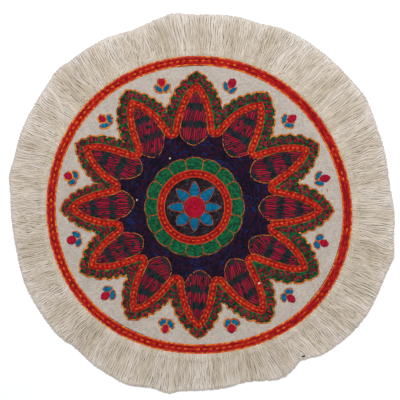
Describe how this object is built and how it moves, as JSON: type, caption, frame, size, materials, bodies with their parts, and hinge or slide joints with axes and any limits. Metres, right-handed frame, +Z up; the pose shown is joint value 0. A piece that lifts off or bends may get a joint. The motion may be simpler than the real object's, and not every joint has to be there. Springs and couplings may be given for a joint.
{
  "type": "embroidered tablecloth",
  "caption": "Small round wool tablecloth lying flat, embroidered with a petalled rosette inside a ring border and edged with a yarn fringe.",
  "frame": {"origin": "on the surface it lies on, under the middle of the box round the fringe", "axes": "+Z up out of the embroidered face, +X to the right and +Y away from the viewer as the cloth is looked down on"},
  "size_m": [0.4012, 0.3952, 0.0031],
  "materials": {
    "wool_cloth": "matt cream twill wool with a fine weave",
    "fringe_yarn": "soft cream spun yarn with a slight sheen",
    "red_wool": "crimson embroidery wool in raised stitches",
    "orange_wool": "orange embroidery wool in raised stitches",
    "green_wool": "green embroidery wool in raised stitches",
    "dark_green_wool": "very dark green embroidery wool in raised stitches",
    "navy_wool": "navy embroidery wool in raised stitches",
    "blue_wool": "turquoise blue embroidery wool in raised stitches"
  },
  "bodies": {
    "root": {"cloth": "wool_cloth", "fringe": "fringe_yarn"}
  },
  "joints": []
}
